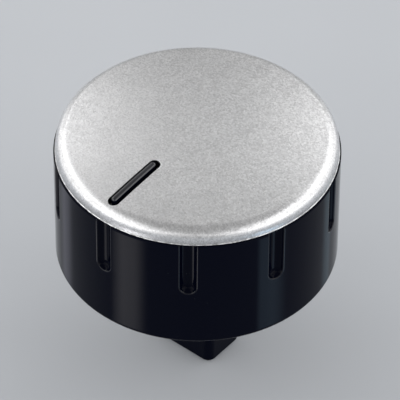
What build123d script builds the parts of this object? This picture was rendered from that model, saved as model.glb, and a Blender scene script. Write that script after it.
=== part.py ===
from build123d import *
import math
import os

# Control knob of a cooker or hob, in millimetres.
# Z runs up the knob's axis. The origin is the centre of the stem's lower end face,
# and the pointer lies towards -Y.

# Cap: a thin domed disc with a rounded rim, which stands on the body's deck
cap_diameter = 43.0
cap_wall = 1.5
cap_edge_height = 2.5
cap_dome_rise = 1.3
cap_rim_rounding = 2.0
cap_inner_chamfer = 0.6

# Pins under the cap, melted over below the deck
pin_count = 4
pin_diameter = 2.0
pin_inset = 5.5
pin_hole_clearance = 0.1
pin_head_diameter = 3.4
pin_head_height = 0.9
pin_head_chamfer = 0.4

# Skirt and deck of the body
ledge = 0.3
skirt_flare = 0.2
skirt_height = 19.7
wall_behind_flutes = 1.3
deck_thickness = 2.0
foot_rounding = 0.5
ledge_chamfer = 0.15

# Flutes: round-bottomed grooves with ball ends, open under the cap's lip
flute_count = 10
flute_width = 2.6
flute_depth = 1.0
flute_length = 9.6

# Webs below the deck
web_thickness = 1.4
web_height = 6.0

# Pointer: a rib of the body that stands up through a slot in the cap, with a gap all round
slot_length = 11.0
slot_width = 1.82
slot_edge_distance = 1.34
pointer_side_gap = 0.46
pointer_outer_gap = 0.6
pointer_inner_gap = 0.85
pointer_proud = 0.5
pointer_rounding = 0.35

# Stem
stem_reach = 20.7
stem_width = 12.0
stem_thickness = 7.8
stem_corner_radius = 1.3
stem_end_chamfer = 0.4

# Socket for the shaft: round at the mouth, then D-shaped with its flat towards -X
shaft_diameter = 6.0
shaft_flat_offset = 1.5
mouth_clearance = 0.2
grip_clearance = 0.03
mouth_depth = 8.0
mouth_chamfer = 0.4
flat_beyond_spring = 1.5

# Leaf spring: a straight leg beside the round mouth, then a bow that bears on the shaft's flat
spring_thickness = 0.4
spring_width = 3.4
spring_leg_gap = 0.15
spring_bow_length = 9.6
spring_tab = 0.6
spring_bite = 0.15
spring_clearance = 0.1
retaining_lip_height = 1.2
retaining_lip_depth = 0.3

# Places that follow from the sizes above
cap_radius = cap_diameter / 2
skirt_top_radius = cap_radius + ledge
skirt_foot_radius = skirt_top_radius + skirt_flare
skirt_inner_radius = skirt_top_radius - flute_depth - wall_behind_flutes
lip_z = stem_reach + skirt_height
deck_underside_z = lip_z - deck_thickness
pin_circle_radius = cap_radius - cap_wall - pin_inset
slot_centre_y = slot_edge_distance + slot_length / 2 - cap_radius
pointer_width = slot_width - 2 * pointer_side_gap
pointer_length = slot_length - pointer_outer_gap - pointer_inner_gap
pointer_centre_y = slot_centre_y + (pointer_outer_gap - pointer_inner_gap) / 2
pointer_crown_z = lip_z + cap_edge_height + cap_dome_rise + pointer_proud
mouth_radius = shaft_diameter / 2 + mouth_clearance
grip_radius = shaft_diameter / 2 + grip_clearance
flat_x = -shaft_flat_offset - grip_clearance
leg_front_x = -mouth_radius - spring_leg_gap
leg_back_x = leg_front_x - spring_thickness
spring_low_z = retaining_lip_height + spring_clearance
spring_high_z = mouth_depth + spring_bow_length + spring_tab
socket_depth = spring_high_z + spring_clearance + flat_beyond_spring
FROM_BELOW = (Align.CENTER, Align.CENTER, Align.MIN)
FROM_BACK = (Align.MIN, Align.CENTER, Align.MIN)


def domed_section(radius, edge_height, rise):
    """Half the section of a disc whose domed top meets its side at the edge height."""
    top = edge_height + rise
    dome = TangentArc((0, top), (radius, edge_height), tangent=(1, 0))
    sides = Polyline((radius, edge_height), (radius, 0), (0, 0), (0, top))
    return make_face(dome + sides)


def rim_corner(section):
    """The corner of such a section where the dome meets the side."""
    return section.vertices().group_by(Axis.X)[-1].sort_by(Axis.Y)[-1]


def turned(section):
    """The solid that a section sweeps round the knob's axis."""
    return revolve(Plane.XZ * section, Axis.Z)


def cap_form():
    """The cap's outer form: a domed disc with its rim rounded."""
    section = domed_section(cap_radius, cap_edge_height, cap_dome_rise)
    return turned(fillet(rim_corner(section), cap_rim_rounding))


def cap_hollow():
    """The space under the cap, which leaves an even wall."""
    section = domed_section(cap_radius - cap_wall, cap_edge_height - cap_wall, cap_dome_rise)
    return turned(chamfer(rim_corner(section), cap_inner_chamfer))


def round_ended_bar(length, width, centre_y):
    """A bar with round ends that lies along Y, from the deck up to the pointer's crown."""
    outline = Pos(0, centre_y) * SlotOverall(length, width, rotation=90)
    return Pos(0, 0, lip_z) * extrude(outline, pointer_crown_z - lip_z)


def pointer_rib():
    """The rib in the cap's slot: its top follows the cap's dome and has rounded edges."""
    section = domed_section(cap_radius, cap_edge_height + pointer_proud, cap_dome_rise)
    bar = round_ended_bar(pointer_length, pointer_width, pointer_centre_y)
    rib = bar & Pos(0, 0, lip_z) * turned(section)
    top_rim = rib.edges().filter_by_position(Axis.Z, lip_z + cap_edge_height, pointer_crown_z)
    return fillet(top_rim, pointer_rounding)


def flutes():
    """Cutters for the flutes: upright rods with ball ends, set round the skirt from the pointer."""
    half_width = flute_width / 2
    cutter_radius = (half_width**2 + flute_depth**2) / (2 * flute_depth)
    centre_radius = skirt_top_radius - flute_depth + cutter_radius
    ball_z = lip_z - flute_length + half_width
    ball = Pos(0, 0, ball_z) * Sphere(cutter_radius)
    rod = Pos(0, 0, ball_z) * Cylinder(cutter_radius, lip_z - ball_z + deck_thickness, align=FROM_BELOW)
    cutter = Pos(0, -centre_radius) * (ball + rod)
    return [Rot(0, 0, turn * 360 / flute_count) * cutter for turn in range(flute_count)]


def pin_places():
    """Where the cap's pins stand, half a step round from the pointer."""
    step = 360 / pin_count
    return [Rot(0, 0, step * (turn + 0.5)) * Pos(0, -pin_circle_radius) for turn in range(pin_count)]


def skirt():
    """The tapered cup: skirt and deck, with its outer edges eased."""
    cup = Cone(skirt_foot_radius, skirt_top_radius, skirt_height, align=FROM_BELOW)
    foot_rim = cup.edges().filter_by(GeomType.CIRCLE).sort_by(Axis.Z)[0]
    cup = fillet(foot_rim, foot_rounding)
    ledge_rim = cup.edges().filter_by(GeomType.CIRCLE).sort_by(Axis.Z)[-1]
    cup = chamfer(ledge_rim, ledge_chamfer)
    hollow = Cylinder(skirt_inner_radius, skirt_height - deck_thickness, align=FROM_BELOW)
    return Pos(0, 0, stem_reach) * (cup - hollow)


def webs():
    """Two crossed webs under the deck, which join the stem to the skirt."""
    reach = skirt_inner_radius + wall_behind_flutes / 2
    bar = Box(2 * reach, web_thickness, web_height, align=FROM_BELOW)
    trim = Cylinder(reach, web_height, align=FROM_BELOW)
    cross = (bar + Rot(0, 0, 90) * bar) & trim
    return Pos(0, 0, deck_underside_z - web_height) * cross


def stem():
    """The rectangular stem with rounded corners, from its end face up to the deck."""
    outline = RectangleRounded(stem_width, stem_thickness, stem_corner_radius)
    post = extrude(outline, deck_underside_z)
    end_edges = post.edges().group_by(Axis.Z)[0]
    return chamfer(end_edges, stem_end_chamfer)


def socket():
    """The blind socket for the shaft: a round mouth with a bevel, and a narrower D above it."""
    flat = Pos(flat_x - grip_radius, 0) * Rectangle(2 * grip_radius, 2 * grip_radius)
    grip = extrude(Circle(grip_radius) - flat, socket_depth)
    mouth = Cylinder(mouth_radius, mouth_depth, align=FROM_BELOW)
    bevel = Cone(mouth_radius + mouth_chamfer, mouth_radius, mouth_chamfer, align=FROM_BELOW)
    return [grip, mouth, bevel]


def spring_slot():
    """The slot beside the socket for the spring, shallower at the end face where a lip keeps it in."""
    width = spring_width + 2 * spring_clearance
    height = spring_high_z + spring_clearance - retaining_lip_height
    chamber = Box(-leg_back_x, width, height, align=FROM_BACK)
    throat = Box(-leg_back_x - retaining_lip_depth, width, retaining_lip_height, align=FROM_BACK)
    chamber = Pos(leg_back_x, 0, retaining_lip_height) * chamber
    throat = Pos(leg_back_x + retaining_lip_depth, 0, 0) * throat
    return [chamber, throat]


def knob_body():
    """The black moulding: fluted skirt, deck, webs, stem and pointer rib in one piece."""
    body = skirt() + stem() + webs() + pointer_rib()
    body -= flutes()
    pin_hole_radius = pin_diameter / 2 + pin_hole_clearance
    hole = Pos(0, 0, deck_underside_z) * Cylinder(pin_hole_radius, deck_thickness, align=FROM_BELOW)
    body -= [place * hole for place in pin_places()]
    return body - socket() - spring_slot()


def top_cap():
    """The silver cap: a domed shell with the pointer's slot and its four melted pins."""
    slot = round_ended_bar(slot_length, slot_width, slot_centre_y)
    cap = Pos(0, 0, lip_z) * (cap_form() - cap_hollow()) - slot
    post = Cylinder(pin_diameter / 2, deck_thickness + cap_edge_height, align=FROM_BELOW)
    head = Pos(0, 0, -pin_head_height) * Cylinder(pin_head_diameter / 2, pin_head_height, align=FROM_BELOW)
    head_rim = head.edges().filter_by(GeomType.CIRCLE).sort_by(Axis.Z)[0]
    head = chamfer(head_rim, pin_head_chamfer)
    pin = Pos(0, 0, deck_underside_z) * (post + head)
    for place in pin_places():
        cap += place * pin
    return cap


def shaft_spring():
    """The leaf spring: a straight leg, a bow that presses on the shaft's flat, and a short tab."""
    bow_rise = flat_x + spring_bite - leg_front_x
    bow_end_z = mouth_depth + spring_bow_length
    bow_middle_z = mouth_depth + spring_bow_length / 2
    outline = []
    for x in (leg_back_x, leg_front_x):
        outline.append(Line((x, spring_low_z), (x, mouth_depth)))
        outline.append(ThreePointArc((x, mouth_depth), (x + bow_rise, bow_middle_z), (x, bow_end_z)))
        outline.append(Line((x, bow_end_z), (x, spring_high_z)))
    for z in (spring_low_z, spring_high_z):
        outline.append(Line((leg_back_x, z), (leg_front_x, z)))
    section = Plane.XZ * make_face(outline)
    return extrude(section, spring_width / 2, both=True)


os.makedirs("parts", exist_ok=True)
export_step(knob_body(), "parts/knob_body.step")
export_step(top_cap(), "parts/top_cap.step")
export_step(shaft_spring(), "parts/shaft_spring.step")
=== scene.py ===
"""Looks of the control knob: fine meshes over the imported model, finishes, studio and camera.

Lengths are in metres. Z runs up the knob's axis and the pointer lies towards -Y.
"""
import logging
import math
from dataclasses import dataclass, field
from enum import Enum
from typing import ClassVar

import bmesh
import bpy
from mathutils import Matrix, Vector, noise
from mathutils.geometry import delaunay_2d_cdt


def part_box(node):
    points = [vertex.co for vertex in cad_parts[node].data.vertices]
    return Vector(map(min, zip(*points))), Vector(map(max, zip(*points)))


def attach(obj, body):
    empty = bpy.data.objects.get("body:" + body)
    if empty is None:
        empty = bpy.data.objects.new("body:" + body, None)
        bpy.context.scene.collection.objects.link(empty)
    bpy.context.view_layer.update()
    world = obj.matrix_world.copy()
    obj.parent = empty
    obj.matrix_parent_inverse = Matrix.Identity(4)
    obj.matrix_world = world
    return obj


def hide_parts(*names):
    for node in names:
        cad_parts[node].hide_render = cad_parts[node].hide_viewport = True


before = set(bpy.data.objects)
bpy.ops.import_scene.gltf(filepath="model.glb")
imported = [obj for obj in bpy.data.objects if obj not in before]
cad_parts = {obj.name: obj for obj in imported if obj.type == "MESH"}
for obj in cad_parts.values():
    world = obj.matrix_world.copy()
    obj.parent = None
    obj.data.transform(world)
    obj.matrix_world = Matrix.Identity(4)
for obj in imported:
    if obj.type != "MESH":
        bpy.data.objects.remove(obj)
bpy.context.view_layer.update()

log = logging.getLogger("control_knob")

MM = 0.001
BODY = "root"
Point = tuple[float, float, float]
Flat = tuple[float, float]
Socket = bpy.types.NodeSocket

# Height of an even triangle whose sides are 1.
TRIANGLE_HEIGHT = math.sqrt(0.75)
# How strongly the larger faces draw the normals that a surface is shaded by.
NORMAL_WEIGHT = 90
# Decimals to which two points of the pointer's ridge count as one.
PLACE_DIGITS = 9
# The middle of a random colour's range.
MID_COLOUR = (0.5, 0.5, 0.5)
# Points nearer than this, in millimetres, count as one when a plate is divided.
MERGE_DISTANCE = 1e-5


class Node(Enum):
    """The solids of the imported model."""

    MOULDING = "knob_body"
    CAP = "top_cap"
    SPRING = "shaft_spring"


class Slot(Enum):
    """The record's material slots."""

    MOULDING = "black_gloss_moulding"
    LACQUER = "silver_lacquer"
    SPRING = "spring_steel"


class Mark(Enum):
    """Marks on faces that a finish reads."""

    BARE = "bare"
    POLISHED = "polished"


def steps(count: int) -> list[float]:
    """Even fractions from 0 to 1, one more than there are intervals."""
    return [i / count for i in range(count + 1)]


def arc(centre: Flat, radius: float, start: float, end: float, count: int) -> list[Flat]:
    """Points along an arc between two angles in degrees, one more than there are intervals."""
    angles = [math.radians(start + (end - start) * t) for t in steps(count)]
    return [(centre[0] + radius * math.cos(turn), centre[1] + radius * math.sin(turn)) for turn in angles]


def turns(count: int) -> list[float]:
    """Even angles round a full circle."""
    return [2 * math.pi * t for t in steps(count)[:-1]]


def on_circle(angle: float, radius: float, height: float) -> Point:
    """The point at an angle, a radius and a height about the knob's axis."""
    return (radius * math.cos(angle), radius * math.sin(angle), height)


def direction(azimuth: float, elevation: float) -> Vector:
    """The unit vector towards an azimuth, in degrees from -Y towards +X, and an elevation."""
    turn, rise = math.radians(azimuth), math.radians(elevation)
    return Vector((math.sin(turn) * math.cos(rise), -math.cos(turn) * math.cos(rise), math.sin(rise)))


def eased_groove(
    half_width: float, depth: float, easing: float, bottom_steps: int, edge_steps: int
) -> list[Flat]:
    """Half the section of a round-bottomed groove whose edge is eased.

    Args:
        half_width: distance from the middle to where the round bottom meets the surface.
        depth: depth in the middle.
        easing: radius of the eased edge.
        bottom_steps: intervals along the round bottom.
        edge_steps: intervals along the eased edge.

    Returns:
        (offset, depth) pairs from the middle out to the plain surface.
    """
    radius = (half_width**2 + depth**2) / (2 * depth)
    rise = radius - depth
    edge_offset = math.sqrt((radius + easing) ** 2 - (easing + rise) ** 2)
    turn = math.asin(edge_offset / (radius + easing))
    angles = [turn * t for t in steps(bottom_steps)]
    bottom = [(radius * math.sin(angle), radius * math.cos(angle) - rise) for angle in angles]
    lean = math.degrees(turn)
    return bottom + arc((edge_offset, easing), easing, -90.0 - lean, -90.0, edge_steps)[1:]


class Skin:
    """A mesh in the making: points, faces, and the joins between rows of points."""

    def __init__(self) -> None:
        """Starts with no points and no faces."""
        self.points: list[Point] = []
        self.faces: list[tuple[int, ...]] = []
        self.marks: dict[Mark, list[int]] = {}

    def add(self, point: Point) -> int:
        """Adds a point and gives its number."""
        self.points.append(point)
        return len(self.points) - 1

    def row(self, points: list[Point]) -> list[int]:
        """Adds a row of points and gives their numbers."""
        return [self.add(point) for point in points]

    def ring(self, like: list[int], radius: float, height: float) -> list[int]:
        """Adds a ring that has another ring's angles, but a radius and a height of its own."""
        angles = [math.atan2(self.points[i][1], self.points[i][0]) for i in like]
        return self.row([on_circle(angle, radius, height) for angle in angles])

    def face(self, *corners: int) -> None:
        """Adds a face and drops corners that repeat.

        Args:
            corners: the numbers of its points, in order round it.
        """
        kept = list(dict.fromkeys(corners))
        if len(kept) > 2:
            self.faces.append(tuple(kept))

    def mark(self, mark: Mark, start: int) -> None:
        """Marks the faces added since there were this many."""
        self.marks.setdefault(mark, []).extend(range(start, len(self.faces)))

    def bridge(self, first: list[int], second: list[int], closed: bool = True) -> None:
        """Joins two rows of equal length with faces.

        Args:
            first: one row.
            second: the other row.
            closed: whether the rows are rings.
        """
        count = len(first)
        for i in range(count if closed else count - 1):
            j = (i + 1) % count
            self.face(first[i], first[j], second[j], second[i])

    def weave(self, rows: list[list[int]], closed: bool = True) -> None:
        """Joins each row of points with the next one."""
        for first, second in zip(rows, rows[1:]):
            self.bridge(first, second, closed)

    def loft(self, rows: list[list[Point]]) -> None:
        """Adds a closed form through rings of points.

        Args:
            rows: the rings, of equal length, from one end to the other.
        """
        rings = [self.row(row) for row in rows]
        self.weave(rings)
        self.face(*rings[0])
        self.face(*rings[-1])

    def fan(self, ring: list[int], centre: Point) -> None:
        """Closes a ring with triangles to a point.

        Args:
            ring: the ring.
            centre: the point.
        """
        middle = self.add(centre)
        for i, corner in enumerate(ring):
            self.face(corner, ring[(i + 1) % len(ring)], middle)

    def make(self, name: str, sharp: float = 38.0) -> bpy.types.Object:
        """Makes the Blender object.

        Args:
            name: the piece's name.
            sharp: angle in degrees above which an edge is shaded as sharp.

        Returns:
            The object, smooth and with its faces turned outward.
        """
        mesh = bpy.data.meshes.new(name)
        mesh.from_pydata(self.points, [], self.faces)
        for mark, faces in self.marks.items():
            layer = mesh.attributes.new(mark.value, "FLOAT", "FACE")
            for index in faces:
                layer.data[index].value = 1.0
        work = bmesh.new()
        work.from_mesh(mesh)
        bmesh.ops.recalc_face_normals(work, faces=work.faces)
        work.to_mesh(mesh)
        work.free()
        piece = bpy.data.objects.new(name, mesh)
        bpy.context.scene.collection.objects.link(piece)
        shade(piece, sharp)
        return piece


def shade(piece: bpy.types.Object, sharp: float) -> None:
    """Shades a piece smooth, with sharp edges past an angle and normals weighted by face area.

    Args:
        piece: the object.
        sharp: the angle in degrees.
    """
    piece.data.shade_smooth()
    piece.data.set_sharp_from_angle(angle=math.radians(sharp))
    weighted = piece.modifiers.new("weighted", "WEIGHTED_NORMAL")
    weighted.keep_sharp = True
    weighted.weight = NORMAL_WEIGHT


@dataclass
class Piece:
    """A piece of the knob: it wears a finish, fills a material slot and stands in for a solid."""

    finish: bpy.types.Material
    node: ClassVar[Node] = Node.MOULDING
    slot: ClassVar[Slot] = Slot.MOULDING
    sharp: ClassVar[float] = 30.0

    def build(self) -> bpy.types.Object:
        """Builds the piece's mesh, which each kind of piece does in its own way."""
        raise NotImplementedError

    def place(self) -> None:
        """Builds the piece, dresses it and sets it on the body in place of its solid."""
        piece = self.build()
        piece.data.materials.append(self.finish)
        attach(piece, BODY)
        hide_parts(self.node.value)
        log.info("%s: %d faces", piece.name, len(piece.data.polygons))


@dataclass(frozen=True)
class CapForm:
    """The cap's outer form, which the pointer follows too."""

    radius: float
    crown: float
    edge_height: float = 2.5 * MM
    dome_rise: float = 1.3 * MM
    rim_rounding: float = 2.0 * MM

    @property
    def lip(self) -> float:
        """Height of the cap's lower lip, which is the height of the deck's top."""
        return self.crown - self.edge_height - self.dome_rise

    @property
    def dome(self) -> float:
        """Radius of the dome's sphere."""
        return (self.radius**2 + self.dome_rise**2) / (2 * self.dome_rise)

    @property
    def rim_centre(self) -> Flat:
        """The centre of the rim's rounding.

        Returns:
            Its radius and its height.
        """
        radius = self.radius - self.rim_rounding
        reach = self.dome - self.rim_rounding
        return (radius, self.crown - self.dome + math.sqrt(reach**2 - radius**2))

    def height(self, radius: float) -> float:
        """Height of the cap's surface at a distance from the axis.

        Args:
            radius: the distance, below the cap's own radius.

        Returns:
            The height on the dome or on the rim's rounding.
        """
        centre_radius, centre_height = self.rim_centre
        if radius < centre_radius * self.dome / (self.dome - self.rim_rounding):
            return self.crown - self.dome + math.sqrt(self.dome**2 - radius**2)
        return centre_height + math.sqrt(self.rim_rounding**2 - (radius - centre_radius) ** 2)

    def over(self, x: float, y: float) -> float:
        """Height of the cap's surface over a point."""
        return self.height(math.hypot(x, y))


@dataclass(frozen=True)
class PointerOutline:
    """The cap's opening or the pointer, seen from above: an outline along Y with round ends."""

    cap_radius: float
    length: float = 11.0 * MM
    width: float = 1.82 * MM
    edge_distance: float = 1.34 * MM
    end_steps: int = 20
    side_steps: int = 26

    @property
    def ends(self) -> Flat:
        """The Y of the two end centres, outer one first."""
        tip = self.edge_distance - self.cap_radius
        return (tip + self.width / 2, tip + self.length - self.width / 2)

    def ring(self, offset: float, shortened: float = 0.0) -> list[Flat]:
        """The outline at an offset from the pointer's middle line.

        Args:
            offset: distance from the middle line.
            shortened: how much nearer to the axis the outer end stands.

        Returns:
            Points round the outline.
        """
        outer, inner = self.ends
        outer += shortened
        points = []
        for centre, other, start in ((inner, outer, 0.0), (outer, inner, math.pi)):
            for t in steps(self.end_steps)[:-1]:
                angle = start + math.pi * t
                points.append((offset * math.cos(angle), centre + offset * math.sin(angle)))
            x = offset * math.cos(start + math.pi)
            points += [(x, centre + (other - centre) * t) for t in steps(self.side_steps)[:-1]]
        return points

    def inset(self, outer_gap: float, inner_gap: float, side_gap: float) -> "PointerOutline":
        """The outline that leaves these gaps to this one."""
        length, width = self.length - outer_gap - inner_gap, self.width - 2 * side_gap
        return PointerOutline(self.cap_radius, length, width, self.edge_distance + outer_gap)

    def distance(self, x: float, y: float) -> float:
        """Distance of a point from the pointer's middle line."""
        outer, inner = self.ends
        return math.hypot(x, y - min(max(y, outer), inner))


class NodeBoard:
    """A material's nodes, with short ways to add and join them."""

    def __init__(self, name: str) -> None:
        """Makes an empty material with its output and main shader.

        Args:
            name: the material's name.
        """
        self.material = bpy.data.materials.new(name)
        self.material.use_nodes = True
        self.tree = self.material.node_tree
        self.tree.nodes.clear()
        self.shader = self.add("ShaderNodeBsdfPrincipled")
        self.output = self.add("ShaderNodeOutputMaterial")
        self.join(self.shader.outputs["BSDF"], self.output.inputs["Surface"])
        self.coordinates = self.add("ShaderNodeTexCoord").outputs["Object"]

    def add(self, kind: str, **settings: object) -> bpy.types.Node:
        """Adds a node.

        Args:
            kind: Blender's name of the node's kind.
            settings: the node's settings.

        Returns:
            The node.
        """
        node = self.tree.nodes.new(kind)
        for name, value in settings.items():
            setattr(node, name, value)
        return node

    def join(self, source: Socket, target: Socket) -> None:
        """Links an output to an input."""
        self.tree.links.new(source, target)

    def give(self, value: object, target: Socket) -> None:
        """Links or sets an input.

        Args:
            value: a socket, a number or several numbers; None leaves the input as it is.
            target: the input.
        """
        if isinstance(value, Socket):
            self.join(value, target)
        elif value is not None:
            target.default_value = value

    def feed(self, node: bpy.types.Node, **values: object) -> bpy.types.Node:
        """Links or sets a node's inputs.

        Args:
            node: the node.
            values: what each input gets; underscores in a name stand for spaces.

        Returns:
            The node.
        """
        for name, value in values.items():
            self.give(value, node.inputs[name.replace("_", " ")])
        return node

    def dress(self, **values: object) -> None:
        """Links or sets inputs of the main shader."""
        self.feed(self.shader, **values)

    def attribute(self, name: str, output: str = "Fac") -> Socket:
        """The value of a mesh attribute."""
        return self.add("ShaderNodeAttribute", attribute_name=name).outputs[output]

    def noise(self, size: float, detail: float = 2.0, stretch: Point = (1, 1, 1)) -> Socket:
        """A smooth random value that varies over a length.

        Args:
            size: the length.
            detail: how many finer octaves it has.
            stretch: scale along each axis.

        Returns:
            The value's socket, from 0 to 1.
        """
        mapping = self.feed(self.add("ShaderNodeMapping"), Vector=self.coordinates, Scale=stretch)
        texture = self.feed(self.add("ShaderNodeTexNoise"), Scale=1 / size, Detail=detail)
        self.join(mapping.outputs["Vector"], texture.inputs["Vector"])
        return texture.outputs["Fac"]

    def cells(self, size: float) -> Socket:
        """A random colour for each cell of a random pattern."""
        texture = self.feed(self.add("ShaderNodeTexVoronoi"), Vector=self.coordinates, Scale=1 / size)
        return texture.outputs["Color"]

    def channels(self, colour: Socket) -> bpy.types.bpy_prop_collection:
        """The outputs Red, Green and Blue of a colour."""
        return self.feed(self.add("ShaderNodeSeparateColor"), Color=colour).outputs

    def height(self) -> Socket:
        """The height on the knob."""
        return self.feed(self.add("ShaderNodeSeparateXYZ"), Vector=self.coordinates).outputs["Z"]

    def remap(self, source: Socket, low: Flat, high: Flat) -> Socket:
        """Maps a value from one range to another.

        Args:
            source: the value's socket.
            low: where the source range starts, and what it gives there.
            high: where the source range ends, and what it gives there.

        Returns:
            The mapped value's socket.
        """
        node = self.feed(self.add("ShaderNodeMapRange"), Value=source, From_Min=low[0], To_Min=low[1])
        return self.feed(node, From_Max=high[0], To_Max=high[1]).outputs["Result"]

    def swing(self, source: Socket, levels: Flat, middle: float, spread: float) -> Socket:
        """A value that swings about a middle while the source goes from one level to the other."""
        return self.remap(source, (levels[0], middle - spread), (levels[1], middle + spread))

    def maths(self, operation: str, first: Socket, second: object) -> Socket:
        """Joins a value with another.

        Args:
            operation: Blender's name of the operation.
            first: the first value's socket.
            second: the second value's socket, or a number.

        Returns:
            The result's socket.
        """
        node = self.add("ShaderNodeMath", operation=operation)
        self.join(first, node.inputs[0])
        self.give(second, node.inputs[1])
        return node.outputs[0]

    def vectors(self, operation: str, first: object, second: object = None) -> Socket:
        """Joins two vectors, or changes one.

        Args:
            operation: Blender's name of the operation.
            first: the first vector, as a socket or three numbers.
            second: the second vector, or the factor that scales the first.

        Returns:
            The result's socket.
        """
        node = self.add("ShaderNodeVectorMath", operation=operation)
        self.give(first, node.inputs[0])
        self.give(second, node.inputs["Scale"] if operation == "SCALE" else node.inputs[1])
        return node.outputs["Vector"]

    def blend(self, share: Socket, first: object, second: object) -> Socket:
        """Mixes two colours, each a socket or three numbers.

        Args:
            share: how much of the second colour shows.
            first: the colour at 0.
            second: the colour at 1.

        Returns:
            The mixed colour's socket.
        """
        node = self.add("ShaderNodeMix", data_type="RGBA")
        self.join(share, node.inputs["Factor"])
        for value, socket in ((first, node.inputs[6]), (second, node.inputs[7])):
            self.give(value if isinstance(value, Socket) else (*value, 1.0), socket)
        return node.outputs[2]

    def bump(self, height: Socket, distance: float) -> Socket:
        """Turns a height into a normal, by the real height of a step from 0 to 1."""
        node = self.feed(self.add("ShaderNodeBump"), Height=height, Distance=distance, Strength=1.0)
        return node.outputs["Normal"]


@dataclass(frozen=True)
class SilverLacquer:
    """Silver lacquer with fine metal flakes, a painted shade down the side, and bright patches at the lip
    that are partly wear and partly a painted highlight.
    """

    lip: float
    tint: Point = (0.70, 0.70, 0.705)
    roughness: float = 0.36
    roughness_spread: float = 0.05
    flake: float = 0.21 * MM
    flake_tilt: float = 0.045
    flake_contrast: float = 0.165
    mottle: float = 4.0 * MM
    mottle_levels: Flat = (0.3, 0.7)
    mottle_contrast: float = 0.03
    # Painted shade on the side: full tone this far above the lip, darkening to this share near the lip.
    painted_shade_height: float = 1.3 * MM
    painted_shade_share: float = 0.74
    # The bright patches at the lip: partly wear, partly a painted highlight along the lip's edge.
    wear_and_highlight_height: float = 0.22 * MM
    wear_and_highlight_fade: Flat = (0.8, 1.3)
    wear_and_highlight_spacing: float = 0.9 * MM
    wear_and_highlight_detail: float = 4.0
    wear_and_highlight_levels: Flat = (0.46, 0.53)
    wear_and_highlight_tint: Point = (0.90, 0.90, 0.90)
    core_tint: Point = (0.004, 0.004, 0.005)

    def make(self) -> bpy.types.Material:
        """Builds the material.

        Returns:
            The material.
        """
        board = NodeBoard("silver_lacquer")
        bare = board.attribute(Mark.BARE.value)
        flakes = board.cells(self.flake)
        shades = board.channels(flakes)
        height = board.height()
        lacquer = self.coat(board, shades["Red"], height)
        # Bright lip patches, partly wear and partly a painted highlight, mixed over the lacquer.
        coat = board.blend(self.wear_and_highlight(board, height), lacquer, self.wear_and_highlight_tint)
        gloss = board.swing(shades["Green"], (0.0, 1.0), self.roughness, self.roughness_spread)
        board.dress(
            Metallic=board.remap(bare, (0.0, 1.0), (1.0, 0.0)),
            Base_Color=board.blend(bare, coat, self.core_tint),
            Roughness=gloss,
            Normal=self.tilted(board, flakes),
        )
        return board.material

    def coat(self, board: NodeBoard, shade_of_flake: Socket, height: Socket) -> Socket:
        """The lacquer's colour, with a tone for each flake and a painted shade that darkens the side
        towards the lip.

        Args:
            board: the material's nodes.
            shade_of_flake: a random value for each flake.
            height: the height on the knob.

        Returns:
            The colour's socket.
        """
        tone = board.swing(shade_of_flake, (0.0, 1.0), 1.0, self.flake_contrast)
        slow = board.swing(board.noise(self.mottle), self.mottle_levels, 1.0, self.mottle_contrast)
        low, high = self.lip + self.wear_and_highlight_height, self.lip + self.painted_shade_height
        # Painted shade: darkens the lacquer on the side towards the lip.
        side = board.remap(height, (low, self.painted_shade_share), (high, 1.0))
        shading = board.maths("MULTIPLY", board.maths("MULTIPLY", tone, slow), side)
        return board.vectors("SCALE", self.tint, shading)

    def tilted(self, board: NodeBoard, flakes: Socket) -> Socket:
        """The normal of each flake, tilted a little at random.

        Args:
            board: the material's nodes.
            flakes: a random colour for each flake.

        Returns:
            The normal's socket.
        """
        surface = board.add("ShaderNodeNewGeometry").outputs["Normal"]
        centred = board.vectors("SUBTRACT", flakes, MID_COLOUR)
        leaned = board.vectors("SCALE", centred, self.flake_tilt)
        return board.vectors("NORMALIZE", board.vectors("ADD", leaned, surface))

    def wear_and_highlight(self, board: NodeBoard, height: Socket) -> Socket:
        """Small bright patches just above the lip: partly worn lacquer, partly a painted highlight along
        the lip's edge.

        Args:
            board: the material's nodes.
            height: the height on the knob.

        Returns:
            The share of the bright patch colour.
        """
        start, end = (self.lip + share * self.wear_and_highlight_height for share in self.wear_and_highlight_fade)
        near = board.remap(height, (start, 1.0), (end, 0.0))
        low, high = self.wear_and_highlight_levels
        patches = board.remap(board.noise(self.wear_and_highlight_spacing, self.wear_and_highlight_detail), (low, 0.0), (high, 1.0))
        return board.maths("MULTIPLY", near, patches)


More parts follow.
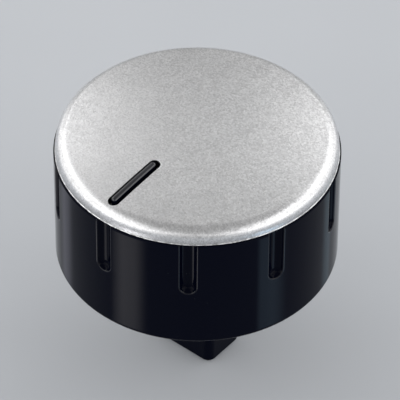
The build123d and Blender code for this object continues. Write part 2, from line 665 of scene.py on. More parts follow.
@dataclass(frozen=True)
class GlossMoulding:
    """Black gloss plastic with a faint ripple, haze, a little dust and edges polished by handling."""

    name: str = "black_gloss_moulding"
    # Painted reflection: the blue cast in this black stands for reflected blue surroundings.
    tint: Point = (0.0010, 0.0017, 0.0065)
    specular: float = 0.04
    edge_specular: float = 0.25
    roughness: float = 0.06
    haze: float = 0.06
    haze_size: float = 5.0 * MM
    haze_detail: float = 3.0
    haze_levels: Flat = (0.35, 0.75)
    ripple: float = 1.6 * MM
    ripple_detail: float = 1.0
    ripple_height: float = 0.0008 * MM
    dust_size: float = 0.16 * MM
    dust_share: float = 0.0025
    dust_fade: float = 0.2
    dust_tint: Point = (0.010, 0.012, 0.016)
    dust_roughness: float = 0.4
    drift_size: float = 7.0 * MM
    drift_levels: Flat = (0.42, 0.6)

    def make(self) -> bpy.types.Material:
        """Builds the material.

        Returns:
            The material.
        """
        board = NodeBoard(self.name)
        board.dress(Specular_IOR_Level=self.specular)
        if self.edge_specular > self.specular:
            edges = board.attribute(Mark.POLISHED.value)
            shine = board.remap(edges, (0.0, self.specular), (1.0, self.edge_specular))
            board.dress(Specular_IOR_Level=shine)
        dust = self.dust(board)
        low, high = self.haze_levels
        clouds = board.noise(self.haze_size, self.haze_detail)
        gloss = board.remap(clouds, (low, self.roughness), (high, self.roughness + self.haze))
        board.dress(
            Base_Color=board.blend(dust, self.tint, self.dust_tint),
            Roughness=board.maths("ADD", gloss, board.maths("MULTIPLY", dust, self.dust_roughness)),
            Normal=board.bump(board.noise(self.ripple, self.ripple_detail), self.ripple_height),
        )
        return board.material

    def dust(self, board: NodeBoard) -> Socket:
        """Where dust lies: a few cells of a fine random pattern, thicker in places.

        Args:
            board: the material's nodes.

        Returns:
            The share of dust.
        """
        level = 1 - self.dust_share
        shades = board.channels(board.cells(self.dust_size))["Blue"]
        specks = board.remap(shades, (level, 0.0), (level + self.dust_fade * self.dust_share, 1.0))
        low, high = self.drift_levels
        drifts = board.remap(board.noise(self.drift_size), (low, 0.0), (high, 1.0))
        return board.maths("MULTIPLY", specks, drifts)


@dataclass(frozen=True)
class SpringSteel:
    """Bare spring steel with a grain along its length."""

    tint: Point = (0.42, 0.43, 0.45)
    tones: Flat = (0.85, 1.1)
    roughness: Flat = (0.28, 0.42)
    grain: float = 0.06 * MM
    grain_detail: float = 3.0
    grain_stretch: Point = (1.0, 1.0, 0.04)
    grain_levels: Flat = (0.2, 0.8)
    grain_height: float = 0.004 * MM

    def make(self) -> bpy.types.Material:
        """Builds the material.

        Returns:
            The material.
        """
        board = NodeBoard("spring_steel")
        lines = board.noise(self.grain, self.grain_detail, self.grain_stretch)
        ranges = (self.tones, self.roughness)
        tone, gloss = (board.remap(lines, *zip(self.grain_levels, ends)) for ends in ranges)
        board.dress(
            Metallic=1.0,
            Base_Color=board.vectors("SCALE", self.tint, tone),
            Roughness=gloss,
            Normal=board.bump(lines, self.grain_height),
        )
        return board.material


@dataclass
class FlutedSkirt(Piece):
    """The moulding's outer wall with its ball-ended flutes, its deck and its inner wall."""

    form: CapForm
    foot_radius: float
    flare: float = 0.2 * MM
    height: float = 19.7 * MM
    inner_radius: float = 19.5 * MM
    deck_thickness: float = 2.0 * MM
    foot_rounding: float = 0.5 * MM
    inner_easing: float = 0.2 * MM
    ledge_easing: float = 0.15 * MM
    flute_count: int = 10
    flute_width: float = 2.6 * MM
    flute_depth: float = 1.0 * MM
    flute_length: float = 9.6 * MM
    flute_easing: float = 0.2 * MM
    flute_border: float = 0.08 * MM
    window: float = 1.9 * MM
    window_margin: float = 0.5 * MM
    wall_shares: tuple[float, ...] = (0.3, 0.6, 0.9, 0.97, 1.0)
    bottom_steps: int = 9
    edge_steps: int = 5
    end_steps: int = 24
    gap_steps: int = 12
    straight_steps: int = 8
    foot_steps: int = 8
    easing_steps: int = 4
    skin: Skin = field(default_factory=Skin)
    sharp: ClassVar[float] = 50.0

    @property
    def ball_drop(self) -> float:
        """How far below the lip the centres of the flutes' ball ends are."""
        return self.flute_length - self.flute_width / 2

    @property
    def levels(self) -> list[float]:
        """The rows along a flute's straight part.

        Returns:
            Their drops below the lip.
        """
        start = 2 * self.ledge_easing
        run = self.ball_drop - start
        return [0.0, self.ledge_easing] + [start + run * t for t in steps(self.straight_steps)]

    def wall_radius(self, drop: float) -> float:
        """The wall's radius at a drop below the lip, eased where it meets the ledge."""
        radius = self.foot_radius - self.flare * (1 - drop / self.height)
        return radius - (self.ledge_easing if drop == 0 else 0.0)

    def angle(self, turn: int) -> float:
        """The direction of a flute, counted from the pointer."""
        return 2 * math.pi * turn / self.flute_count - math.pi / 2

    def at_flute(self, turn: int, across: float, drop: float, depth: float = 0.0) -> Point:
        """A point beside a flute's middle.

        Args:
            turn: which flute.
            across: distance from its middle plane.
            drop: distance below the lip.
            depth: how far it is sunk below the wall.

        Returns:
            The point.
        """
        radius = self.wall_radius(drop)
        if drop == 0:
            radius += min(depth, self.ledge_easing)
        out = math.sqrt(radius**2 - across**2) - depth
        cos, sin = math.cos(self.angle(turn)), math.sin(self.angle(turn))
        return (out * cos - across * sin, out * sin + across * cos, self.form.lip - drop)

    def flute_path(self, offset: float) -> list[Flat]:
        """The U-shaped line round a flute at an offset from its middle line.

        Args:
            offset: distance from the middle line.

        Returns:
            (across, drop) pairs, down one side, round the ball end and up the other side.
        """
        down = [(-offset, drop) for drop in self.levels]
        end = arc((0.0, self.ball_drop), offset, 180.0, 0.0, self.end_steps)[1:-1]
        return down + end + [(offset, drop) for drop in reversed(self.levels)]

    def window_path(self, bottom: float) -> list[Flat]:
        """The square-cornered line round a flute where its rows meet the wall's.

        Args:
            bottom: the drop of its lower side.

        Returns:
            As many (across, drop) pairs as flute_path gives.
        """
        fractions = steps(self.end_steps // 3)
        down = [(-self.window, drop) for drop in self.levels]
        left = [(-self.window, self.ball_drop + (bottom - self.ball_drop) * t) for t in fractions[1:]]
        base = [(-self.window + 2 * self.window * t, bottom) for t in fractions[1:]]
        right = [(self.window, bottom + (self.ball_drop - bottom) * t) for t in fractions[1:-1]]
        return down + left + base + right + [(self.window, drop) for drop in reversed(self.levels)]

    def add_flute(self, turn: int, bottom: float) -> tuple[list[int], list[int]]:
        """Adds a flute and the wall just round it.

        Args:
            turn: which flute.
            bottom: the drop of the lower side of its window.

        Returns:
            The window's line, and the points across the flute's open top.
        """
        half_width, easing = self.flute_width / 2, self.flute_easing
        profile = eased_groove(half_width, self.flute_depth, easing, self.bottom_steps, self.edge_steps)
        profile.append((profile[-1][0] + self.flute_border, 0.0))
        rows = []
        for offset, depth in profile:
            if offset == 0:
                spine = self.skin.row([self.at_flute(turn, 0.0, drop, depth) for drop in self.levels])
                rows.append(spine + [spine[-1]] * (self.end_steps - 1) + spine[::-1])
            else:
                path = self.flute_path(offset)
                rows.append(self.skin.row([self.at_flute(turn, x, drop, depth) for x, drop in path]))
        rows.append(self.skin.row([self.at_flute(turn, x, drop) for x, drop in self.window_path(bottom)]))
        for i, (inner, outer) in enumerate(zip(rows, rows[1:])):
            start = len(self.skin.faces)
            self.skin.bridge(inner, outer, closed=False)
            if self.bottom_steps <= i < self.bottom_steps + self.edge_steps:
                self.skin.mark(Mark.POLISHED, start)
        top = [row[0] for row in reversed(rows)] + [row[-1] for row in rows[1:]]
        return rows[-1], top

    def add_gap(self, turn: int, left: list[int], right: list[int], drops: list[float]) -> list[list[int]]:
        """Adds the plain wall from one flute's window to the next.

        Args:
            turn: the flute before the gap.
            left: the points down the near side of the gap.
            right: the points down its far side.
            drops: the rows' drops below the lip.

        Returns:
            The rows between the two sides.
        """
        rows = []
        for drop in drops:
            radius = self.wall_radius(drop)
            edge = math.asin(self.window / radius)
            first = self.angle(turn) + edge
            sweep = self.angle(turn + 1) - edge - first
            angles = [first + sweep * t for t in steps(self.gap_steps)[1:-1]]
            rows.append(self.skin.row([on_circle(angle, radius, self.form.lip - drop) for angle in angles]))
        full = [[a, *row, b] for a, row, b in zip(left, rows, right)]
        self.skin.weave(full, closed=False)
        return rows

    def build(self) -> bpy.types.Object:
        """Builds the skirt as one closed mesh.

        Returns:
            The object.
        """
        third = self.end_steps // 3
        bottom = self.flute_length + self.window_margin
        drops = self.levels + [self.ball_drop + (bottom - self.ball_drop) * t for t in steps(third)[1:]]
        flutes = [self.add_flute(turn, bottom) for turn in range(self.flute_count)]
        count = len(drops)
        top_loop: list[int] = []
        low_loop: list[int] = []
        for turn, (window, top) in enumerate(flutes):
            following = flutes[(turn + 1) % self.flute_count][0]
            rows = self.add_gap(turn, window[::-1][:count], following[:count], drops)
            top_loop += top + rows[0]
            low_loop += window[count - 1 : count + third] + rows[-1]
        self.close_top(top_loop)
        self.close_bottom(low_loop, bottom)
        return self.skin.make("fluted_skirt", self.sharp)

    def close_top(self, loop: list[int]) -> None:
        """Adds the ledge and the deck's top, which the cap covers.

        Args:
            loop: the ring along the wall's upper edge.
        """
        deck = self.skin.ring(loop, self.inner_radius, self.form.lip)
        self.skin.bridge(loop, deck)
        self.skin.fan(deck, (0.0, 0.0, self.form.lip))

    def close_bottom(self, loop: list[int], start: float) -> None:
        """Adds the plain lower wall, the rounded foot, the inner wall and the deck's underside.

        Args:
            loop: the lowest ring of the flutes' band.
            start: its drop below the lip.
        """
        lip, easing, inner = self.form.lip, self.inner_easing, self.inner_radius
        foot, ceiling = lip - self.height, lip - self.deck_thickness
        straight_end = self.height - self.foot_rounding
        drops = [start + (straight_end - start) * share for share in self.wall_shares]
        section = [(self.wall_radius(drop), lip - drop) for drop in drops]
        rounding_centre = (self.wall_radius(straight_end) - self.foot_rounding, lip - straight_end)
        section += arc(rounding_centre, self.foot_rounding, 0.0, -90.0, self.foot_steps)[1:]
        section += arc((inner + easing, foot + easing), easing, -90.0, -180.0, self.easing_steps)
        section.append((inner, ceiling - 2 * easing))
        section += arc((inner - easing, ceiling - easing), easing, 0.0, 90.0, self.easing_steps)
        section.append((inner - 2 * easing, ceiling))
        previous = loop
        for radius, height in section:
            ring = self.skin.ring(loop, radius, height)
            self.skin.bridge(previous, ring)
            previous = ring
        self.skin.fan(previous, (0.0, 0.0, ceiling))


@dataclass
class Webs(Piece):
    """Two crossed webs under the deck, which join the stem to the skirt."""

    deck_underside: float
    reach: float = 19.6 * MM
    thickness: float = 1.4 * MM
    depth: float = 6.0 * MM
    easing: float = 0.12 * MM
    sunk: float = 0.1 * MM

    def outline(self, inset: float, height: float) -> list[Point]:
        """The cross at a height.

        Args:
            inset: how much smaller it is all round.
            height: the height.

        Returns:
            Points round the cross.
        """
        half, reach = self.thickness / 2 - inset, self.reach - inset
        points = []
        for turn in range(4):
            cos, sin = math.cos(turn * math.pi / 2), math.sin(turn * math.pi / 2)
            for x, y in ((half, half), (half, reach), (-half, reach)):
                points.append((x * cos - y * sin, x * sin + y * cos, height))
        return points

    def build(self) -> bpy.types.Object:
        """Builds the cross with its lower edges eased.

        Returns:
            The object.
        """
        skin = Skin()
        low, top = self.deck_underside - self.depth, self.deck_underside + self.sunk
        levels = ((self.easing, low), (0.0, low + self.easing), (0.0, top))
        skin.loft([self.outline(inset, height) for inset, height in levels])
        return skin.make("webs", self.sharp)


@dataclass
class Stem(Piece):
    """The rectangular stem with the shaft's socket and the spring's slot."""

    deck_underside: float
    width: float = 12.0 * MM
    thickness: float = 7.8 * MM
    corner: float = 1.3 * MM
    corner_steps: int = 10
    end_easing: float = 0.4 * MM
    mouth_radius: float = 3.2 * MM
    mouth_depth: float = 8.0 * MM
    mouth_easing: float = 0.4 * MM
    grip_radius: float = 3.03 * MM
    grip_flat: float = 1.53 * MM
    circle_steps: int = 96
    socket_depth: float = 19.8 * MM
    slot_back: float = 3.75 * MM
    slot_width: float = 3.6 * MM
    slot_top: float = 18.3 * MM
    lip_height: float = 1.2 * MM
    lip_depth: float = 0.3 * MM
    sunk: float = 0.1 * MM
    overshoot: float = 1.0 * MM

    def outline(self, inset: float) -> list[Flat]:
        """The stem's section.

        Args:
            inset: how much smaller it is all round.

        Returns:
            Points round the section.
        """
        half_x, half_y = self.width / 2 - self.corner, self.thickness / 2 - self.corner
        radius = self.corner - inset
        points = []
        for turn, (sx, sy) in enumerate(((1, 1), (-1, 1), (-1, -1), (1, -1))):
            centre = (sx * half_x, sy * half_y)
            points += arc(centre, radius, 90.0 * turn, 90.0 * (turn + 1), self.corner_steps)
        return points

    def prism(self, name: str, *levels: tuple[list[Flat], float]) -> bpy.types.Object:
        """A closed form through outlines of equal length.

        Args:
            name: the object's name.
            levels: the outlines, each with its height.

        Returns:
            The object.
        """
        skin = Skin()
        skin.loft([[(x, y, height) for x, y in outline] for outline, height in levels])
        return skin.make(name, self.sharp)

    def circle(self, radius: float, flat: float = math.inf) -> list[Flat]:
        """A round outline with a flat towards -X at a distance from the axis, if one is given."""
        return [(max(x, -flat), y) for x, y in arc((0.0, 0.0), radius, 0.0, 360.0, self.circle_steps)[:-1]]

    def box(self, name: str, back: float, low: float, high: float) -> bpy.types.Object:
        """A box cutter from the axis towards -X.

        Args:
            name: the cutter's name.
            back: how far it reaches.
            low: height of its lower face.
            high: height of its upper face.

        Returns:
            The cutter.
        """
        half = self.slot_width / 2
        outline = [(-back, -half), (0.0, -half), (0.0, half), (-back, half)]
        return self.prism(name, (outline, low), (outline, high))

    def cutters(self) -> list[bpy.types.Object]:
        """The forms of the socket and of the spring's slot.

        Returns:
            The mouth, the grip above it, and the slot's throat and chamber.
        """
        below = -self.overshoot
        wide, mouth = self.circle(self.mouth_radius + self.mouth_easing), self.circle(self.mouth_radius)
        grip = self.circle(self.grip_radius, self.grip_flat)
        mouth_levels = ((wide, below), (wide, 0.0), (mouth, self.mouth_easing), (mouth, self.mouth_depth))
        return [
            self.prism("mouth_form", *mouth_levels),
            self.prism("grip_form", (grip, self.mouth_depth - self.sunk), (grip, self.socket_depth)),
            self.box("throat_form", self.slot_back - self.lip_depth, below, self.lip_height + self.sunk),
            self.box("chamber_form", self.slot_back, self.lip_height, self.slot_top),
        ]

    def build(self) -> bpy.types.Object:
        """Builds the stem and cuts its socket.

        Returns:
            The object.
        """
        full, eased = self.outline(0.0), self.outline(self.end_easing)
        top = self.deck_underside + self.sunk
        stem = self.prism("stem", (eased, 0.0), (full, self.end_easing), (full, top))
        stem.modifiers.clear()
        cutters = self.cutters()
        for cutter in cutters:
            cutter.modifiers.clear()
            cut = stem.modifiers.new(cutter.name, "BOOLEAN")
            cut.object = cutter
            cut.solver = "EXACT"
        graph = bpy.context.evaluated_depsgraph_get()
        cut_mesh = bpy.data.meshes.new_from_object(stem.evaluated_get(graph))
        stem.modifiers.clear()
        stem.data = cut_mesh
        for cutter in cutters:
            bpy.data.objects.remove(cutter)
        shade(stem, self.sharp)
        return stem


@dataclass
class PointerRib(Piece):
    """The moulding's rib, which stands up through the cap's opening with a gap all round it."""

    form: CapForm
    opening: PointerOutline
    outer_gap: float = 0.6 * MM
    inner_gap: float = 0.85 * MM
    side_gap: float = 0.46 * MM
    proud: float = 0.5 * MM
    rounding: float = 0.35 * MM
    flat_steps: int = 3
    rounding_steps: int = 14
    sharp: ClassVar[float] = 40.0

    def profile(self, half: float) -> list[Flat]:
        """Half the rib's top section.

        Args:
            half: half the rib's width.

        Returns:
            (offset, rise above the cap's surface) pairs, from the middle out to the side.
        """
        flat = half - self.rounding
        centre = (flat, self.proud - self.rounding)
        section = [(flat * t, self.proud) for t in steps(self.flat_steps)]
        return section + arc(centre, self.rounding, 90.0, 0.0, self.rounding_steps)[1:]

    def build(self) -> bpy.types.Object:
        """Builds the rib from the deck up to its rounded top.

        Returns:
            The object.
        """
        skin = Skin()
        outline = self.opening.inset(self.outer_gap, self.inner_gap, self.side_gap)
        half = outline.width / 2
        rows: list[list[int]] = []
        numbers: dict[Point, int] = {}
        for offset, rise in self.profile(half):
            row = []
            for x, y in outline.ring(offset):
                top = self.form.over(x, y) + rise
                key = tuple(round(part, PLACE_DIGITS) for part in (x, y, top))
                if offset or key not in numbers:
                    numbers[key] = skin.add((x, y, top))
                row.append(numbers[key])
            rows.append(row)
        rows.append(skin.row([(x, y, self.form.lip) for x, y in outline.ring(half)]))
        skin.weave(rows)
        skin.face(*rows[-1])
        return skin.make("pointer_rib", self.sharp)


@dataclass
class LacqueredCap(Piece):
    """The silver cap: a domed shell with a rounded rim, a fine rolled lip and the pointer's opening."""

    form: CapForm
    opening: PointerOutline
    wall: float = 1.5 * MM
    opening_easing: float = 0.1 * MM
    opening_steps: int = 5
    opening_margin: float = 0.1 * MM
    upright_share: float = 0.6
    bare_share: float = 0.5
    bend_start: float = 19.1 * MM
    bend_steps: int = 10
    top_reach: float = 20.75 * MM
    ceiling_reach: float = 19.3 * MM
    ceiling_shortening: float = 1.3 * MM
    columns: int = 480
    rim_steps: int = 16
    side_heights: tuple[float, ...] = (0.5 * MM, 0.3 * MM, 0.24 * MM)
    fill_spacing: float = 0.9 * MM
    fill_to_opening: float = 0.4
    fill_to_rim: float = 0.5
    lip_bead: float = 0.12 * MM
    lip_bulge: float = 0.08 * MM
    lip_sweep: Flat = (70.0, -90.0)
    lip_steps: int = 8
    lip_roughness: float = 0.022 * MM
    wander_scales: Flat = (24.0, 70.0)
    wander_share: float = 0.6
    nick_scale: float = 45.0
    nick_shift: Point = (3.1, 0.0, 0.0)
    nick_level: float = 0.25
    nick_depth: float = 3.0
    inner_easing: float = 0.08 * MM
    inner_side: float = 0.4 * MM
    pin_count: int = 4
    pin_circle: float = 14.5 * MM
    pin_radius: float = 1.0 * MM
    pin_head_radius: float = 1.7 * MM
    pin_head_height: float = 0.9 * MM
    pin_head_straight: float = 0.3
    pin_columns: int = 40
    pin_steps: int = 8
    deck_thickness: float = 2.0 * MM
    skin: Skin = field(default_factory=Skin)
    node: ClassVar[Node] = Node.CAP
    slot: ClassVar[Slot] = Slot.LACQUER
    sharp: ClassVar[float] = 40.0

    def circle(self, radius: float) -> list[Flat]:
        """A ring of the cap seen from above."""
        return [(radius * math.cos(turn), radius * math.sin(turn)) for turn in turns(self.columns)]

    def plate(
        self, rim: list[Flat], hole: list[Flat], margin: float, bands: tuple[float, ...] = ()
    ) -> tuple[list[Flat], list[tuple[int, ...]]]:
        """Divides a disc with the pointer's opening into triangles.

        Args:
            rim: the disc's outline.
            hole: the opening's outline.
            margin: distance of the opening's outline from the pointer's middle line.
            bands: radii of close rings of points where the surface bends down to the rim.

        Returns:
            The points (the rim's, then the opening's, then those between) and the triangles.
        """
        inner = []
        nearest = margin + self.opening_margin
        for radius in bands:
            inner += [point for point in self.circle(radius) if self.opening.distance(*point) > nearest]
        reach = bands[0] if bands else math.hypot(*rim[0])
        spacing = self.fill_spacing
        count = int(reach / spacing) + 1
        for i in range(-count, count + 1):
            for j in range(-count, count + 1):
                x = (i + 0.5 * (j % 2)) * spacing
                y = j * spacing * TRIANGLE_HEIGHT
                clear = self.opening.distance(x, y) > margin + self.fill_to_opening * spacing
                if clear and math.hypot(x, y) < reach - self.fill_to_rim * spacing:
                    inner.append((x, y))
        points = rim + hole + inner
        first, second = len(rim), len(rim) + len(hole)
        edges = [(i, (i + 1) % first) for i in range(first)]
        edges += [(i, i + 1 if i + 1 < second else first) for i in range(first, second)]
        scaled = [Vector((x / MM, y / MM)) for x, y in points]
        found = delaunay_2d_cdt(scaled, edges, [], 0, MERGE_DISTANCE)
        source = [origins[0] for origins in found[3]]
        triangles = [tuple(source[i] for i in triangle) for triangle in found[2]]
        return points, [corners for corners in triangles if not all(first <= i < second for i in corners)]

    def lip_height(self, angle: float) -> float:
        """How far the lip's edge strays: a fine wander with small nicks.

        Args:
            angle: the direction from the axis.

        Returns:
            The distance, outward where it is above 0.
        """
        where = Vector((math.cos(angle), math.sin(angle), 0.0))
        coarse, fine = (noise.noise(where * scale) for scale in self.wander_scales)
        nick = max(0.0, noise.noise(where * self.nick_scale + Vector(self.nick_shift)) - self.nick_level)
        return self.lip_roughness * (coarse + self.wander_share * fine - self.nick_depth * nick)

    def lip_ring(self, radius: float, height: float) -> list[int]:
        """Adds a ring near the lip, which strays a little in radius."""
        places = [(angle, radius + self.lip_height(angle)) for angle in turns(self.columns)]
        return self.skin.row([on_circle(angle, reach, height) for angle, reach in places])

    def build(self) -> bpy.types.Object:
        """Builds the cap's shell and its pins.

        Returns:
            The object.
        """
        margin = self.opening.width / 2 + 2 * self.opening_easing
        hole = self.opening.ring(margin)
        bend = self.top_reach - self.bend_start
        bands = tuple(self.bend_start + bend * t for t in steps(self.bend_steps)[:-1])
        points, triangles = self.plate(self.circle(self.top_reach), hole, margin, bands)
        top = self.skin.row([(x, y, self.form.over(x, y)) for x, y in points])
        for triangle in triangles:
            self.skin.face(*(top[i] for i in triangle))
        wall_ring = self.opening_wall(top[self.columns : self.columns + len(hole)])
        start = len(self.skin.faces)
        ceiling_ring = self.ceiling(wall_ring)
        self.skin.mark(Mark.BARE, start)
        self.rim(top[: self.columns], ceiling_ring)
        start = len(self.skin.faces)
        for turn in range(self.pin_count):
            self.pin(2 * math.pi * (turn + 0.5) / self.pin_count - math.pi / 2)
        self.skin.mark(Mark.BARE, start)
        return self.skin.make("lacquered_cap", self.sharp)

    def opening_wall(self, ring: list[int]) -> list[int]:
        """Adds the opening's eased edge and its upright wall.

        Args:
            ring: the points of the top round the opening.

        Returns:
            The lowest ring of the wall.
        """
        half, easing = self.opening.width / 2, self.opening_easing
        levels = arc((half + easing, easing), easing, -90.0, -180.0, self.opening_steps)
        levels.append((half, self.upright_share * self.wall))
        for offset, drop in levels:
            start = len(self.skin.faces)
            outline = self.opening.ring(offset)
            row = self.skin.row([(x, y, self.form.over(x, y) - drop) for x, y in outline])
            self.skin.bridge(ring, row)
            if drop > self.bare_share * easing:
                self.skin.mark(Mark.BARE, start)
            ring = row
        return ring

    def ceiling(self, wall_ring: list[int]) -> list[int]:
        """Adds the cap's inner ceiling.

        Args:
            wall_ring: the lowest ring of the opening's wall.

        Returns:
            The ceiling's outer ring.
        """
        half = self.opening.width / 2
        hole = self.opening.ring(half, self.ceiling_shortening)
        points, triangles = self.plate(self.circle(self.ceiling_reach), hole, half)
        crown, dome = self.form.crown - self.wall, self.form.dome
        rows = self.skin.row([(x, y, crown - dome + math.sqrt(dome**2 - x * x - y * y)) for x, y in points])
        for triangle in triangles:
            self.skin.face(*(rows[i] for i in triangle))
        self.skin.bridge(wall_ring, rows[self.columns : self.columns + len(hole)])
        return rows[: self.columns]

    def rim(self, outer: list[int], inner: list[int]) -> None:
        """Adds the rounded rim, the side, the rolled lip and the inner side.

        Args:
            outer: the top's outer ring.
            inner: the ceiling's outer ring.
        """
        form, lip, skin = self.form, self.form.lip, self.skin
        rounding = form.rim_rounding
        start = 90.0 - math.degrees(math.asin((self.top_reach - form.rim_centre[0]) / rounding))
        section = arc(form.rim_centre, rounding, start, 0.0, self.rim_steps)[1:]
        section += [(form.radius, lip + height) for height in self.side_heights]
        rings = [outer] + [skin.ring(outer, radius, height) for radius, height in section]
        bead_centre = (form.radius + self.lip_bulge - self.lip_bead, lip + self.lip_bead)
        bead = arc(bead_centre, self.lip_bead, *self.lip_sweep, self.lip_steps)
        rings += [self.lip_ring(radius, height) for radius, height in bead]
        side, easing = form.radius - self.wall, self.inner_easing
        section = [(side + easing, lip), (side, lip + easing), (side, lip + self.inner_side)]
        rings += [skin.ring(outer, radius, height) for radius, height in section] + [inner]
        skin.weave(rings)

    def pin(self, angle: float) -> None:
        """Adds a pin that goes down through the deck and ends in a melted head.

        Args:
            angle: the pin's direction from the axis.
        """
        x, y = self.pin_circle * math.cos(angle), self.pin_circle * math.sin(angle)
        under = self.form.lip - self.deck_thickness
        head, height, straight = self.pin_head_radius, self.pin_head_height, self.pin_head_straight
        section = [(self.pin_radius, self.form.lip + self.wall), (self.pin_radius, under), (head, under)]
        for out, down in arc((0.0, 0.0), 1.0, 0.0, 90.0, self.pin_steps):
            section.append((head * out, under - height * (straight + (1 - straight) * down)))
        rings = []
        for radius, level in section[:-1]:
            circle = arc((x, y), radius, 0.0, 360.0, self.pin_columns)[:-1]
            rings.append(self.skin.row([(px, py, level) for px, py in circle]))
        self.skin.face(*rings[0])
        self.skin.weave(rings)
        self.skin.fan(rings[-1], (x, y, section[-1][1]))


@dataclass
class LeafSpring(Piece):
    """The leaf spring beside the shaft: a straight leg, a bow and a short tab."""

    width: float = 3.4 * MM
    thickness: float = 0.4 * MM
    front: float = -3.35 * MM
    bow_rise: float = 1.97 * MM
    bow_low: float = 8.0 * MM
    bow_length: float = 9.6 * MM
    bow_steps: int = 28
    low: float = 1.3 * MM
    high: float = 18.2 * MM
    easing: float = 0.05 * MM
    node: ClassVar[Node] = Node.SPRING
    slot: ClassVar[Slot] = Slot.SPRING
    sharp: ClassVar[float] = 35.0

    def line(self) -> list[Flat]:
        """The front face's line.

        Returns:
            (x, z) pairs from the lower end up.
        """
        half = self.bow_length / 2
        radius = (half**2 + self.bow_rise**2) / (2 * self.bow_rise)
        sweep = math.degrees(math.asin(half / radius))
        bow_centre = (self.front + self.bow_rise - radius, self.bow_low + half)
        leg = [(self.front, self.low), (self.front, (self.low + self.bow_low) / 2)]
        return leg + arc(bow_centre, radius, -sweep, sweep, self.bow_steps) + [(self.front, self.high)]

    def build(self) -> bpy.types.Object:
        """Builds the strip with eased long edges.

        Returns:
            The object.
        """
        skin = Skin()
        half, thick, ease = self.width / 2, self.thickness, self.easing
        section = [(0.0, half - ease), (-ease, half), (ease - thick, half), (-thick, half - ease)]
        section += [(x, -y) for x, y in reversed(section)]
        skin.loft([[(x + dx, dy, z) for dx, dy in section] for x, z in self.line()])
        return skin.make("leaf_spring", self.sharp)


@dataclass(frozen=True)
class BoxPair:
    """Soft boxes to the camera's left, and their mirror images to its right.

    Azimuths count from the camera's side. The angles, also those that the boxes span, are degrees.
    """

    name: str
    azimuths: tuple[float, ...]
    span: float
    elevation: float
    radiance: float
    height: float = 15.0

    def make(self, camera_azimuth: float, distance: float) -> None:
        """Adds the boxes.

        Args:
            camera_azimuth: the camera's own azimuth.
            distance: how far from the knob they stand.
        """
        for azimuth in self.azimuths:
            for side in (-1, 1):
                name = f"{self.name}_{side * azimuth:.0f}"
                self.add_box(name, direction(camera_azimuth + side * azimuth, self.elevation), distance)

    def add_box(self, name: str, out: Vector, distance: float) -> None:
        """Adds a box that faces the knob's foot.

        Args:
            name: the box's name.
            out: the direction in which it stands.
            distance: how far out it stands.
        """
        lamp = bpy.data.lights.new(name, "AREA")
        lamp.shape = "RECTANGLE"
        lamp.size = 2 * distance * math.tan(math.radians(self.span / 2))
        lamp.size_y = 2 * distance * math.tan(math.radians(self.height / 2))
        lamp.energy = self.radiance * math.pi * lamp.size * lamp.size_y
        holder = bpy.data.objects.new(name, lamp)
        holder.location = out * distance
        holder.rotation_mode = "QUATERNION"
        holder.rotation_quaternion = (-out).to_track_quat("-Z", "Y")
        holder.visible_camera = False
        bpy.context.scene.collection.objects.link(holder)


@dataclass(frozen=True)
class GlossBand:
    """A glowing card on the floor, out of the camera's view, that shows as an upright band in the gloss.

    The wall mirrors the floor, so the card's outline is where the camera's rays land after the wall.
    Angles are degrees round the wall from the camera's side, + to the camera's right.
    """

    start: float
    end: float
    radiance: float
    tint: Point = (1.0, 1.0, 1.0)
    soft_start: float = 0.4
    soft_end: float = 0.4
    low_share: float = 0.75
    overrun: float = 0.1
    height: float = 0.3 * MM
    columns: int = 16
    rows: int = 6

    def glow(self, across: float, up: float) -> tuple[float, ...]:
        """The band's strength.

        Args:
            across: share of the way across the band.
            up: share of the way up the band.

        Returns:
            The red, green, blue and alpha of the glow.
        """
        rise = min(1.0, across / self.soft_start)
        fall = min(1.0, (1 - across) / self.soft_end)
        edge = math.sin(math.pi / 2 * rise) ** 2 * math.sin(math.pi / 2 * fall) ** 2
        strength = edge * (self.low_share + (1 - self.low_share) * up)
        return (*(strength * part for part in self.tint), 1.0)

    def spot(self, studio: "Studio", across: float, up: float) -> Point:
        """Where the camera's ray lands after the wall.

        Args:
            studio: the studio that gives the camera's angles and the wall's place.
            across: share of the way across the band.
            up: share of the way up the band.

        Returns:
            The point on the card.
        """
        share = (1 + 2 * self.overrun) * up - self.overrun
        height = studio.form.lip - studio.wall_height * (1 - share)
        reach = height / math.tan(math.radians(studio.camera_elevation))
        angle = math.radians(self.start + (self.end - self.start) * across)
        first = math.radians(studio.camera_azimuth) + angle
        second = first + angle
        wall = studio.form.radius
        x = wall * math.sin(first) + reach * math.sin(second)
        y = -wall * math.cos(first) - reach * math.cos(second)
        return (x, y, self.height)

    def material(self) -> bpy.types.Material:
        """The card's finish: it glows by the mesh's own values and hides nothing behind it.

        Returns:
            The material.
        """
        board = NodeBoard("gloss_card")
        board.tree.nodes.remove(board.shader)
        glow = board.attribute("glow", "Color")
        emission = board.feed(board.add("ShaderNodeEmission"), Color=glow, Strength=self.radiance)
        both = board.add("ShaderNodeAddShader")
        board.join(emission.outputs[0], both.inputs[0])
        board.join(board.add("ShaderNodeBsdfTransparent").outputs[0], both.inputs[1])
        board.join(both.outputs[0], board.output.inputs["Surface"])
        return board.material

    def make(self, studio: "Studio") -> None:
        """Adds the card.

        Args:
            studio: the studio that it lies in.
        """
        places = [[(across, up) for across in steps(self.columns)] for up in steps(self.rows)]
        skin = Skin()
        rows = [skin.row([self.spot(studio, *place) for place in row]) for row in places]
        skin.weave(rows, closed=False)
        card = skin.make("gloss_card")
        layer = card.data.color_attributes.new("glow", "FLOAT_COLOR", "POINT")
        for place, item in zip(sum(places, []), layer.data):
            item.color = self.glow(*place)
        card.data.materials.append(self.material())
        for ray in ("camera", "diffuse", "transmission", "shadow"):
            setattr(card, f"visible_{ray}", False)


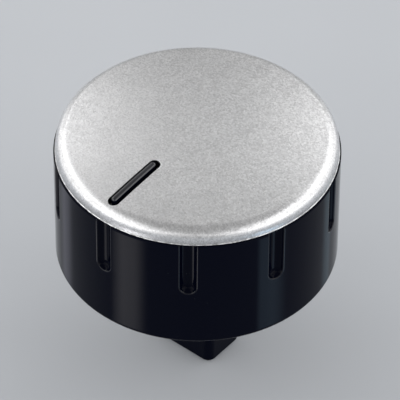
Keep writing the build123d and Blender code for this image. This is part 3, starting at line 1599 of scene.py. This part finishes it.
@dataclass
class Studio:
    """The pale floor, the lamps and the camera."""

    form: CapForm
    camera_azimuth: float = 39.1
    camera_elevation: float = 43.05
    camera_roll: float = 0.504
    camera_distance: float = 430.0 * MM
    lens: float = 251.4
    sensor: float = 36.0
    clip: Flat = (0.01, 50.0)
    aim_side: float = 0.473 * MM
    aim_drop: float = 10.94 * MM
    floor_radius: float = 4.0
    floor_height: float = -0.02 * MM
    floor_sides: int = 96
    floor_tint: Point = (0.56, 0.58, 0.61)
    floor_clouds: float = 60.0 * MM
    floor_levels: Flat = (0.3, 0.7)
    floor_contrast: float = 0.015
    floor_roughness: float = 0.9
    floor_specular: float = 0.1
    sky: float = 0.39
    wall_height: float = 19.7 * MM
    lamp_distance: float = 1.0
    boxes: tuple[BoxPair, ...] = (
        BoxPair("high_box", (70.0, 110.0), span=40.0, elevation=40.0, radiance=1.5),
        BoxPair("high_rear_box", (142.0,), span=40.0, elevation=40.0, radiance=2.0),
        BoxPair("overhead_box", (155.0,), span=40.0, elevation=55.0, radiance=0.12),
        BoxPair("front_box", (40.0,), span=60.0, elevation=25.0, radiance=1.2),
        BoxPair("rear_box", (90.0, 130.0), span=40.0, elevation=25.0, radiance=0.6),
        BoxPair("low_front_box", (60.0,), span=60.0, elevation=10.0, radiance=2.0),
        BoxPair("low_rear_box", (120.0,), span=60.0, elevation=10.0, radiance=1.2),
    )
    bands: tuple[GlossBand, ...] = (
        GlossBand(-36.5, -19.0, radiance=3.6, tint=(1.0, 0.98, 1.0)),
        GlossBand(24.5, 40.0, radiance=2.0, tint=(0.62, 0.9, 1.15), soft_start=0.12, soft_end=0.6),
        GlossBand(-71.0, -58.0, radiance=0.6, tint=(0.9, 0.9, 1.1)),
        GlossBand(60.0, 70.0, radiance=0.5, tint=(0.6, 0.9, 1.1)),
    )

    def build(self) -> None:
        """Sets up the floor, the sky, the lamps and the camera."""
        self.floor()
        self.world()
        for box in self.boxes:
            box.make(self.camera_azimuth, self.lamp_distance)
        for band in self.bands:
            band.make(self)
        self.camera()

    def floor(self) -> None:
        """Adds the plain pale floor."""
        skin = Skin()
        radius, height = self.floor_radius, self.floor_height
        skin.face(*skin.row([on_circle(angle, radius, height) for angle in turns(self.floor_sides)]))
        floor = skin.make("floor")
        board = NodeBoard("pale_floor")
        clouds = board.swing(board.noise(self.floor_clouds), self.floor_levels, 1.0, self.floor_contrast)
        tint = board.vectors("SCALE", self.floor_tint, clouds)
        board.dress(Roughness=self.floor_roughness, Specular_IOR_Level=self.floor_specular, Base_Color=tint)
        floor.data.materials.append(board.material)

    def world(self) -> None:
        """Sets the even light of the room."""
        world = bpy.data.worlds.new("studio")
        bpy.context.scene.world = world
        world.use_nodes = True
        background = world.node_tree.nodes["Background"]
        background.inputs["Color"].default_value = (1.0, 1.0, 1.0, 1.0)
        background.inputs["Strength"].default_value = self.sky

    def camera(self) -> None:
        """Adds the camera at the photograph's viewing angle."""
        turn, roll = math.radians(self.camera_azimuth), math.radians(self.camera_roll)
        right = Vector((math.cos(turn), math.sin(turn), 0.0))
        back = direction(self.camera_azimuth, self.camera_elevation)
        up = back.cross(right)
        aim = right * self.aim_side + Vector((0.0, 0.0, self.form.lip - self.aim_drop))
        rolled_right = right * math.cos(roll) + up * math.sin(roll)
        rolled_up = up * math.cos(roll) - right * math.sin(roll)
        data = bpy.data.cameras.new("camera")
        data.sensor_width, data.lens = self.sensor, self.lens
        data.clip_start, data.clip_end = self.clip
        camera = bpy.data.objects.new("camera", data)
        axes = Matrix((rolled_right, rolled_up, back)).transposed().to_4x4()
        camera.matrix_world = Matrix.Translation(aim + back * self.camera_distance) @ axes
        bpy.context.scene.collection.objects.link(camera)
        bpy.context.scene.camera = camera


def main() -> None:
    """Builds the knob's pieces in order, then the studio."""
    logging.basicConfig(level=logging.INFO, format="%(message)s")
    bpy.context.scene.view_settings.view_transform = "Standard"
    body_low, body_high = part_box(Node.MOULDING.value)
    cap_low, cap_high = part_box(Node.CAP.value)
    form = CapForm(radius=(cap_high[0] - cap_low[0]) / 2, crown=cap_high[2])
    opening = PointerOutline(cap_radius=form.radius)
    deck_underside = form.lip - FlutedSkirt.deck_thickness

    moulding = GlossMoulding().make()
    polished = GlossMoulding(name="polished_pointer", specular=0.8, roughness=0.08, dust_share=0.001).make()
    lacquer = SilverLacquer(lip=form.lip).make()
    steel = SpringSteel().make()
    pieces = [
        FlutedSkirt(moulding, form, foot_radius=(body_high[0] - body_low[0]) / 2),
        Webs(moulding, deck_underside),
        Stem(moulding, deck_underside),
        PointerRib(polished, form, opening),
        LacqueredCap(lacquer, form, opening),
        LeafSpring(steel),
    ]
    for piece in pieces:
        piece.place()
    Studio(form).build()


if __name__ == "__main__":
    main()
